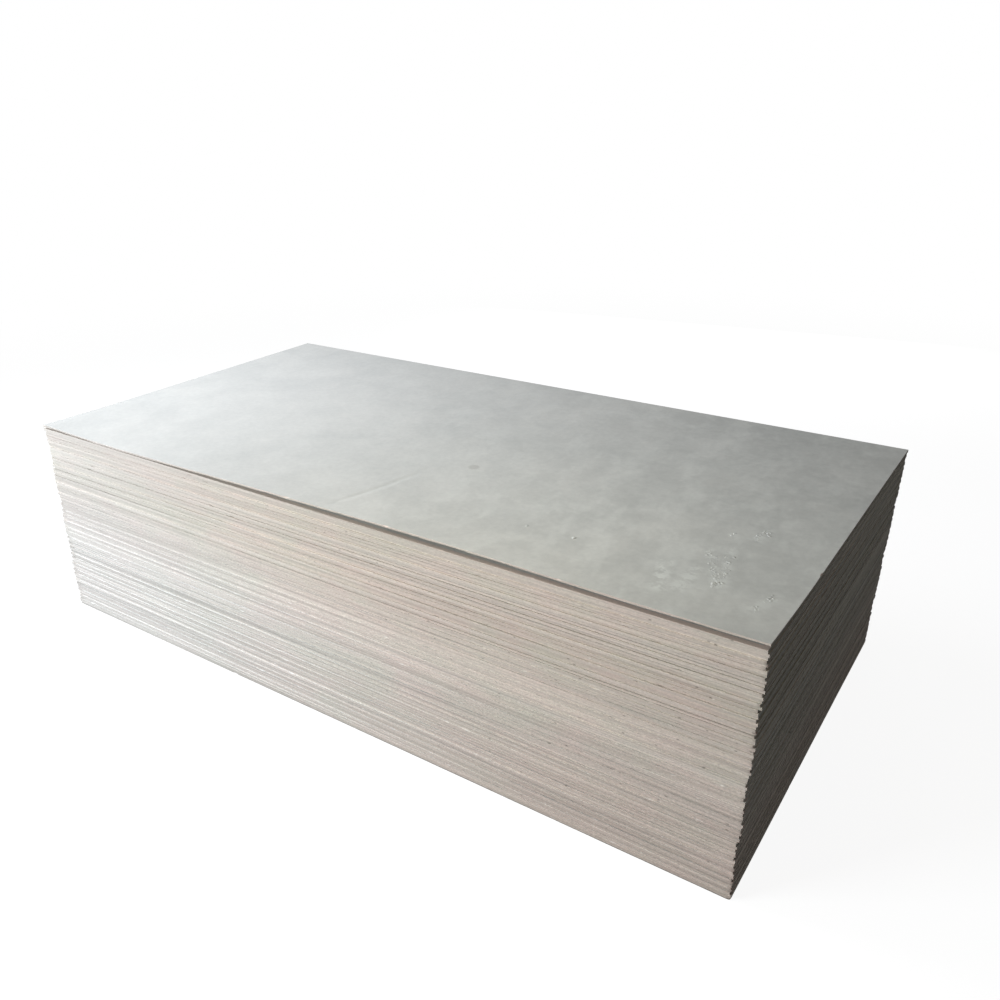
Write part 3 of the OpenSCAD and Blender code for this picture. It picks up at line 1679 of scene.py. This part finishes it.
    def strand(self) -> bpy.types.NodeTree:
        """Makes a soft strand that is whole on the line along its way and gone at its reach.

        Returns:
            The group.
        """
        inputs = {
            "Place": self.VECTOR, "Start": self.VECTOR, "Way": self.VECTOR, "Reach": self.FLOAT
        }
        bench, given, result = self.start(Effect.STRAND, inputs, ("Strand",))
        way = given["Way"]
        off = bench.vector("SUBTRACT", given["Place"], given["Start"])
        share = bench.sum(
            "DIVIDE", bench.vector("DOT_PRODUCT", off, way), bench.vector("DOT_PRODUCT", way, way)
        )
        share.node.use_clamp = True
        gap = bench.vector("DISTANCE", off, bench.shade(way, share))
        near = bench.span(bench.sum("DIVIDE", gap, given["Reach"]), 0.0, 1.0, 1.0, 0.0)
        bench.feed(result.inputs["Strand"], near)
        return bench.tree


# Where a change starts and ends, and what it goes from and to there
Change = tuple[float, float, float, float]


@dataclass(frozen=True)
class EdgeMasks:
    """What the steps of the sawn edge's finish read off the surface."""

    number: Socket
    along: Socket
    height: Socket
    upward: Socket
    on_end: Socket
    off_end: Socket
    dusty: Socket
    drawn: Socket
    shade: Socket
    tone: Socket
    patches: Socket
    long_streaks: Socket
    fine_streaks: Socket
    grain: Socket
    pits: Socket
    flecks: Socket


@dataclass(frozen=True)
class SawnEdge:
    """Finish of the sawn edges: streaked, matt and pitted.

    A change by levels follows the board's number, and a change by reach the place along X.
    """

    pink: Paint = paint(214, 197, 185)
    green: Paint = paint(204, 200, 183)
    # Painted shade tint: the right end, which lies in shade, takes a greyer colour of its own
    end: Paint = paint(204, 201, 191)
    pale: Paint = paint(218, 211, 200)
    # Painted light: paler and cooler towards the lower left, where the window light is strongest
    film: Paint = paint(218, 214, 211)
    # Painted light: cooler towards the left, as the window light there is
    cool: Paint = paint(205, 199, 197)
    # Painted shade: warmer and darker towards the lower right
    soil: Paint = paint(198, 171, 157)
    # Painted shade: a warm tint on the shelf under the curled top board, where its shadow lies
    shelf_face: Paint = paint(215, 199, 188)
    # Dust with painted highlight: near white on the upward ledges towards the lower left
    dust: Paint = paint(246, 245, 242)
    # Painted shade in the pits
    pit: Paint = paint(104, 95, 84)
    fleck: Paint = paint(236, 229, 219)
    # Painted contact shadow along the foot of the stack
    grime: Paint = paint(92, 89, 82)
    roughness: float = 0.9
    sheen_level: float = 0.2
    relief: Relief = Relief(0.5, 0.2 * MM)
    first_shade: float = 3.0
    pale_share: float = 0.45
    film_share: float = 0.4
    pit_depth: float = 3.0
    patches: Clouds = Clouds(2.8, 0.5, 4.5)
    patch_stretch: tuple[float, float, float] = (1.0, 1.0, 2.5)
    grain_stretch: tuple[float, float, float] = (0.5, 0.5, 1.0)
    grain_size: float = 300.0
    long_streaks: Streaks = Streaks(0.6, 150.0)
    fine_streaks: Streaks = Streaks(2.0, 420.0)
    pits: Specks = Specks(125.0, 0.05)
    flecks: Specks = Specks(160.0, 0.16)
    long_shades: tuple[float, float] = (0.82, 1.13)
    fine_shades: tuple[float, float] = (0.84, 1.11)
    grain_shades: tuple[float, float] = (0.86, 1.11)
    end_tones: tuple[float, float] = (0.7, 1.3)
    end_facing: tuple[float, float] = (0.4, 0.8)
    end_drawing: Change = (0.0, 1.0, 1.0, 0.08)
    up_facing: tuple[float, float] = (0.3, 0.9)
    dusty_levels: tuple[float, float] = (68.0, 30.0)
    dusty_reach: Change = (0.9, -0.7, 0.3, 1.0)
    clean_end: tuple[float, float] = (-1.215, -1.185)
    cool_reach: Change = (0.2, -1.2, 0.0, 0.45)
    soil_levels: tuple[float, float] = (45.0, 8.0)
    soil_reach: Change = (-0.2, 1.1, 0.0, 0.32)
    shelf_level: tuple[float, float] = (82.4, 82.6)
    shelf_reach: Change = (-0.6, 0.9, 0.25, 1.0)
    drawn_levels: Change = (60.0, 25.0, 0.65, 1.0)
    pitted_reach: Change = (-0.6, 0.8, 0.12, 0.5)
    grime_height: Change = (1.5 * MM, 3.5 * MM, 1.0, 0.0)
    grime_reach: Change = (-0.9, 0.3, 0.1, 0.85)

    def masks(self, bench: NodeBench, shelf: EffectShelf) -> EdgeMasks:
        """Reads the surface.

        Args:
            bench: The material's nodes.
            shelf: The shared effects.

        Returns:
            The masks.
        """
        place = bench.add("ShaderNodeTexCoord").outputs["Object"]
        number = bench.add("ShaderNodeAttribute", attribute_name=LEVEL_NAME).outputs["Fac"]
        facing = bench.split(bench.add("ShaderNodeNewGeometry").outputs["Normal"])
        along, _, height = bench.split(place)
        board = shelf.place(bench, Effect.BOARD_SHADE, number=number, start=self.first_shade)
        patch_place = bench.stretch(place, self.patch_stretch)
        grain_place = bench.stretch(place, self.grain_stretch)
        on_end = bench.span(facing["X"], *self.end_facing)
        off_end = bench.span(on_end, *self.end_drawing)
        low = bench.span(number, *self.dusty_levels)
        long_streaks, fine_streaks = (
            shelf.read(bench, Effect.STREAKS, place=place, **streaks._asdict())
            for streaks in (self.long_streaks, self.fine_streaks)
        )
        pits, flecks = (
            shelf.read(bench, Effect.SPECKS, place=grain_place, **specks._asdict())
            for specks in (self.pits, self.flecks)
        )
        return EdgeMasks(
            number=number,
            along=along,
            height=height,
            upward=bench.span(facing["Z"], *self.up_facing),
            on_end=on_end,
            off_end=off_end,
            dusty=bench.times(low, bench.span(along, *self.dusty_reach)),
            drawn=bench.times(bench.span(number, *self.drawn_levels), off_end),
            shade=board.outputs["Shade"],
            tone=board.outputs["Tone"],
            patches=shelf.read(bench, Effect.CLOUDS, place=patch_place, **self.patches._asdict()),
            long_streaks=long_streaks,
            fine_streaks=fine_streaks,
            grain=shelf.read(bench, Effect.GRAIN, place=grain_place, size=self.grain_size),
            pits=pits,
            flecks=flecks,
        )

    def tint(self, bench: NodeBench, masks: EdgeMasks) -> Socket:
        """Colours the boards in broad patches, with painted light and shade laid over them.

        Args:
            bench: The material's nodes.
            masks: What is read off the surface.

        Returns:
            The colour's socket.
        """
        colour = bench.mix(masks.patches, self.pink, self.green)
        # Painted shade tint on the right end, which lies in shade
        colour = bench.mix(masks.on_end, colour, self.end)
        colour = bench.mix(bench.times(masks.shade, self.pale_share), colour, self.pale)
        # Painted light: a cooler tint towards the left
        colour = bench.mix(bench.span(masks.along, *self.cool_reach), colour, self.cool)
        # Painted shade: warmer and darker towards the lower right
        low = bench.span(masks.number, *self.soil_levels)
        warm_shaded = bench.times(low, bench.span(masks.along, *self.soil_reach))
        colour = bench.mix(warm_shaded, colour, self.soil)
        # Painted light: the lower left is made paler and cooler
        return bench.mix(bench.times(masks.dusty, self.film_share), colour, self.film)

    def streak(self, bench: NodeBench, masks: EdgeMasks, plain: Socket) -> Socket:
        """Draws streaks and grain over a colour, and each board's own tone on the right end.

        Args:
            bench: The material's nodes.
            masks: What is read off the surface.
            plain: The colour.

        Returns:
            The streaked colour's socket.
        """
        colour = bench.vary(plain, masks.long_streaks, *self.long_shades)
        colour = bench.vary(colour, masks.fine_streaks, *self.fine_shades)
        colour = bench.vary(colour, masks.grain, *self.grain_shades)
        colour = bench.mix(masks.drawn, plain, colour)
        return bench.mix(masks.on_end, colour, bench.vary(colour, masks.tone, *self.end_tones))

    def soil_over(self, bench: NodeBench, masks: EdgeMasks, colour: Socket) -> Socket:
        """Lays dust with painted highlight on ledges, flecks, and painted shade on shelf, pits and
        foot.

        Args:
            bench: The material's nodes.
            masks: What is read off the surface.
            colour: The colour below them.

        Returns:
            The marked and shaded colour's socket.
        """
        # Dust with painted highlight on the upward ledges
        ledge = bench.times(masks.upward, bench.span(masks.along, *self.clean_end))
        colour = bench.mix(bench.times(ledge, masks.dusty), colour, self.dust)
        # Painted shade tint on the shelf that lies in the top board's shadow
        shaded_shelf = bench.times(masks.upward, bench.span(masks.number, *self.shelf_level))
        shaded_shelf = bench.times(shaded_shelf, bench.span(masks.along, *self.shelf_reach))
        colour = bench.mix(shaded_shelf, colour, self.shelf_face)
        pitted = bench.times(bench.span(masks.along, *self.pitted_reach), masks.off_end)
        colour = bench.mix(bench.times(masks.flecks, pitted), colour, self.fleck)
        # Painted shade: the pits are darkened in colour as well as sunk
        colour = bench.mix(bench.times(masks.pits, pitted), colour, self.pit)
        # Painted contact shadow along the foot of the stack
        low = bench.span(masks.height, *self.grime_height)
        contact_shadow_mask = bench.times(low, bench.span(masks.along, *self.grime_reach))
        return bench.mix(contact_shadow_mask, colour, self.grime)

    def heights(self, bench: NodeBench, masks: EdgeMasks) -> Socket:
        """Height of the fine relief: streaks and grain, with the pits sunk in.

        Args:
            bench: The material's nodes.
            masks: What is read off the surface.

        Returns:
            The height's socket.
        """
        raised = bench.sum("ADD", masks.fine_streaks, masks.grain)
        raised = bench.sum("SUBTRACT", raised, bench.times(masks.pits, self.pit_depth))
        return bench.times(raised, masks.drawn)

    def material(self, shelf: EffectShelf) -> bpy.types.Material:
        """Builds the finish.

        Args:
            shelf: The shared effects.

        Returns:
            The material.
        """
        material, bench = new_material("sawn_edge")
        masks = self.masks(bench, shelf)
        colour = self.streak(bench, masks, self.tint(bench, masks))
        colour = self.soil_over(bench, masks, colour)
        heights = self.heights(bench, masks)
        bench.surface(colour, self.roughness, self.sheen_level, self.relief, heights)
        return material


@dataclass(frozen=True)
class MouldedFace:
    """Finish of the smooth faces: cloudy grey with pale smears."""

    grey: Paint = paint(189, 189, 183)
    pale: Paint = paint(200, 199, 192)
    bloom: Paint = paint(209, 209, 202)
    speck: Paint = paint(150, 147, 138)
    powder: Paint = paint(216, 217, 210)
    spills: tuple[Spill, ...] = TopBoard.SPILLS
    sheen_level: float = 0.15
    roughness: tuple[float, float] = (0.74, 0.64)
    relief: Relief = Relief(0.2, 0.3 * MM)
    clouds: Clouds = Clouds(2.4, 0.9, 4.5)
    smears: Clouds = Clouds(6.0, 0.5, 2.0)
    smear_turn: float = math.radians(84)
    smear_stretch: tuple[float, float, float] = (1.0, 1.8, 1.0)
    smear_range: tuple[float, float] = (0.35, 1.0)
    mottle: Clouds = Clouds(10.0, 0.3, 1.5)
    mottle_shades: tuple[float, float] = (0.87, 1.08)
    dusty_reach: Change = (-0.6, 1.1, 0.12, 0.45)
    grain_size: float = 70.0
    grain_shades: tuple[float, float] = (0.97, 1.025)
    specks: Specks = Specks(14.0, 0.02)
    speck_share: float = 0.35
    powder_clouds: Clouds = Clouds(38.0, 0.4, 3.0)
    powder_range: tuple[float, float] = (0.25, 0.8)
    powder_spreads: float = 2.0

    def spilt(self, bench: NodeBench, shelf: EffectShelf, place: Value) -> Socket:
        """Share of powder round the spills.

        Args:
            bench: The material's nodes.
            shelf: The shared effects.
            place: Where to read it.

        Returns:
            The share's socket.
        """
        level = bench.stretch(place, (1.0, 1.0, 0.0))
        most = 0.0
        for spill in self.spills:
            strand = shelf.read(
                bench,
                Effect.STRAND,
                place=level,
                start=(*spill.start, 0.0),
                way=(*spill.way.tolist(), 0.0),
                reach=self.powder_spreads * spill.spread,
            )
            most = bench.sum("MAXIMUM", bench.times(strand, spill.dust), most)
        patches = shelf.read(bench, Effect.CLOUDS, place=place, **self.powder_clouds._asdict())
        return bench.times(most, bench.span(patches, *self.powder_range))

    def material(self, shelf: EffectShelf) -> bpy.types.Material:
        """Builds the finish.

        Args:
            shelf: The shared effects.

        Returns:
            The material.
        """
        material, bench = new_material("moulded_face")
        place = bench.add("ShaderNodeTexCoord").outputs["Object"]
        turn = {"Vector": place, "Rotation": (0.0, 0.0, self.smear_turn)}
        turned = bench.add("ShaderNodeMapping", turn).outputs[0]
        smear_place = bench.stretch(turned, self.smear_stretch)
        clouds = shelf.read(bench, Effect.CLOUDS, place=place, **self.clouds._asdict())
        smears = shelf.read(bench, Effect.CLOUDS, place=smear_place, **self.smears._asdict())
        mottle = shelf.read(bench, Effect.CLOUDS, place=place, **self.mottle._asdict())
        grain = shelf.read(bench, Effect.GRAIN, place=place, size=self.grain_size)
        specks = shelf.read(bench, Effect.SPECKS, place=place, **self.specks._asdict())
        dusty = bench.span(bench.split(place)["X"], *self.dusty_reach)
        smeared = bench.times(bench.span(smears, *self.smear_range), dusty)
        colour = bench.mix(clouds, self.grey, self.pale)
        colour = bench.mix(smeared, colour, self.bloom)
        colour = bench.mix(dusty, colour, bench.vary(colour, mottle, *self.mottle_shades))
        colour = bench.vary(colour, grain, *self.grain_shades)
        colour = bench.mix(bench.times(specks, self.speck_share), colour, self.speck)
        colour = bench.mix(self.spilt(bench, shelf, place), colour, self.powder)
        rough = bench.span(clouds, 0.0, 1.0, *self.roughness)
        heights = bench.sum("ADD", smears, grain)
        bench.surface(colour, rough, self.sheen_level, self.relief, heights)
        return material


@dataclass(frozen=True)
class Lamp:
    """A soft rectangular studio lamp."""

    name: str
    place: tuple[float, float, float]
    aim: tuple[float, float, float]
    size: tuple[float, float]
    power: float
    colour: tuple[float, float, float]

    def hang(self) -> bpy.types.Object:
        """Hangs the lamp.

        Returns:
            The lamp.
        """
        light = bpy.data.lights.new(self.name, "AREA")
        light.shape = "RECTANGLE"
        light.size, light.size_y = self.size
        light.energy = self.power
        light.color = self.colour
        lamp = bpy.data.objects.new(self.name, light)
        lamp.location = self.place
        way = Vector(self.aim) - Vector(self.place)
        lamp.rotation_euler = way.to_track_quat("-Z", "Y").to_euler()
        lamp.visible_camera = False
        bpy.context.scene.collection.objects.link(lamp)
        return lamp


@dataclass(frozen=True)
class ViewPoint:
    """The camera, set where the photograph was taken."""

    place: tuple[float, float, float] = (1.6225, -2.1084, 1.6716)
    azimuth: float = 34.150
    elevation: float = 24.555
    roll: float = -1.194
    lens: float = 32.585

    def set_up(self) -> bpy.types.Object:
        """Makes the camera and looks through it.

        Returns:
            The camera.
        """
        turn, tip = math.radians(self.azimuth), math.radians(self.elevation)
        right = Vector((math.cos(turn), math.sin(turn), 0.0))
        back = Vector(
            (math.sin(turn) * math.cos(tip), -math.cos(turn) * math.cos(tip), math.sin(tip))
        )
        axes = Matrix((right, back.cross(right), back)).transposed()
        axes = axes @ Matrix.Rotation(math.radians(-self.roll), 3, "Z").transposed()
        data = bpy.data.cameras.new("photo_view")
        data.lens = self.lens
        camera = bpy.data.objects.new("photo_view", data)
        camera.matrix_world = Matrix.Translation(self.place) @ axes.to_4x4()
        bpy.context.scene.collection.objects.link(camera)
        bpy.context.scene.camera = camera
        return camera


@dataclass(frozen=True)
class Studio:
    """Pale floor, white surround and soft lamps."""

    floor_reach: float = 30.0
    floor_gap: float = 0.3 * MM
    floor_glow: float = 0.92
    floor_paint: Paint = (0.2, 0.2, 0.2, 1.0)
    floor_bounce: Paint = (0.12, 0.12, 0.12, 1.0)
    shadow_reach: tuple[float, float] = (2.2, 6.0)
    white: Paint = (1.0, 1.0, 1.0, 1.0)
    air: Paint = (1.0, 0.98, 0.94, 1.0)
    air_strength: float = 0.09
    lamps: tuple[Lamp, ...] = (
        Lamp("window", (-3.2, -4.6, 1.9), (-0.3, -0.6, 0.4), (2.4, 1.2), 342.0, (0.87, 0.95, 1.0)),
        Lamp("ceiling_panel", (-1.6, -0.4, 2.4), (-0.6, -0.2, 0.6), (1.8, 1.8), 60.0, (0.87, 0.9, 1.0)),
        Lamp("corner_panel", (0.5, -0.9, 1.7), (0.5, -0.8, 0.6), (0.7, 0.7), 4.2, (1.0, 0.95, 0.75)),
        Lamp("warm_fill", (0.7, -2.4, 0.55), (0.7, -0.6, 0.45), (0.8, 0.7), 2.0, (1.0, 0.1, 0.0)),
        Lamp("back_panel", (-0.8, 4.4, 0.36), (-0.2, 0.6, 0.34), (3.0, 0.5), 60.0, (1.0, 0.99, 0.97)),
    )

    def seen_share(self, bench: NodeBench) -> Socket:
        """Share that is 1 for what the camera sees, also in gloss or through glass.

        Args:
            bench: Nodes to work in.

        Returns:
            The share's socket.
        """
        path = bench.add("ShaderNodeLightPath")
        seen = bench.sum("MAXIMUM", path.outputs["Is Camera Ray"], path.outputs["Is Glossy Ray"])
        return bench.sum("MAXIMUM", seen, path.outputs["Is Transmission Ray"])

    def floor(self) -> bpy.types.Object:
        """Lays the floor, which keeps the stack's shadow.

        Returns:
            The floor.
        """
        reach, low = self.floor_reach, -self.floor_gap
        corners = [(x * reach, y * reach, low) for x, y in CORNER_SIGNS.tolist()]
        mesh = bpy.data.meshes.new("floor")
        mesh.from_pydata(corners, [], [(0, 1, 2, 3)])
        material, bench = new_material("pale_floor")
        lit = bench.add("ShaderNodeBsdfDiffuse", {"Color": self.floor_paint})
        glow = bench.add("ShaderNodeEmission", {"Strength": self.floor_glow})
        near = bench.add("ShaderNodeAddShader", {0: lit.outputs[0], 1: glow.outputs[0]})
        far = bench.add("ShaderNodeEmission", {"Strength": 1.0})
        place = bench.add("ShaderNodeNewGeometry").outputs["Position"]
        away = bench.add("ShaderNodeVectorMath", {0: place}, operation="LENGTH").outputs["Value"]
        fade = bench.span(away, *self.shadow_reach)
        seen = bench.add("ShaderNodeMixShader", {0: fade, 1: near.outputs[0], 2: far.outputs[0]})
        unseen = bench.add("ShaderNodeBsdfDiffuse", {"Color": self.floor_bounce})
        both = bench.add(
            "ShaderNodeMixShader",
            {0: self.seen_share(bench), 1: unseen.outputs[0], 2: seen.outputs[0]},
        )
        bench.add("ShaderNodeOutputMaterial", {"Surface": both.outputs[0]})
        mesh.materials.append(material)
        floor = bpy.data.objects.new("floor", mesh)
        bpy.context.scene.collection.objects.link(floor)
        floor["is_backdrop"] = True
        return floor

    def surround(self) -> None:
        """Sets a white surround that gives little light of its own."""
        world = bpy.data.worlds.new("surround")
        world.use_nodes = True
        bench = NodeBench(world.node_tree)
        white = bench.add("ShaderNodeBackground", {"Color": self.white, "Strength": 1.0})
        air = bench.add("ShaderNodeBackground", {"Color": self.air, "Strength": self.air_strength})
        both = bench.add(
            "ShaderNodeMixShader",
            {0: self.seen_share(bench), 1: air.outputs[0], 2: white.outputs[0]},
        )
        bench.add("ShaderNodeOutputWorld", {"Surface": both.outputs[0]})
        bpy.context.scene.world = world

    def set_up(self) -> None:
        """Sets up the floor, the surround, the lamps and plain colours."""
        self.floor()
        self.surround()
        for lamp in self.lamps:
            lamp.hang()
        bpy.context.scene.view_settings.view_transform = "Standard"


@dataclass
class BoardStack:
    """The whole stack: the curled board and the runs of flat boards below it."""

    survey: StackSurvey = field(default_factory=StackSurvey)
    runs_in_node: int = 4

    def runs(self, node: str, corner_line: np.ndarray) -> list[BoardRun]:
        """Splits a node's boards into runs.

        Args:
            node: Name of the node.
            corner_line: Line up the stack that the back right corners keep to.

        Returns:
            The runs from the floor up.
        """
        places = self.survey.places(node)
        shares = np.array_split(np.arange(len(places)), self.runs_in_node)
        return [
            BoardRun(f"{node}_{count}", node, [places[number] for number in share], corner_line)
            for count, share in enumerate(shares, 1)
        ]

    def build(self) -> list[bpy.types.Object]:
        """Builds and dresses every piece.

        Returns:
            The pieces.
        """
        shelf = EffectShelf()
        materials = [SawnEdge().material(shelf), MouldedFace().material(shelf)]
        survey = self.survey
        top = TopBoard(survey.top_place(), survey.top_node, survey.thickness)
        pieces = [top.build(materials)]
        corner_line = survey.corner_line()
        for node in (survey.even_node, survey.odd_node):
            pieces += [run.build(materials) for run in self.runs(node, corner_line)]
        return pieces


def main() -> None:
    """Builds the stack in its studio and logs the triangles of each piece."""
    logging.basicConfig(level=logging.INFO, format="%(name)s: %(message)s")
    ViewPoint().set_up()
    Studio().set_up()
    for piece in BoardStack().build():
        faces = sum(len(polygon.vertices) - 2 for polygon in piece.data.polygons)
        LOG.info("%s has %d triangles", piece.name, faces)
    boxes = {"cad": CAD_BOX, "visual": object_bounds()}
    sizes = {name: [list(corner) for corner in box] for name, box in boxes.items()}


if __name__ == "__main__":
    main()
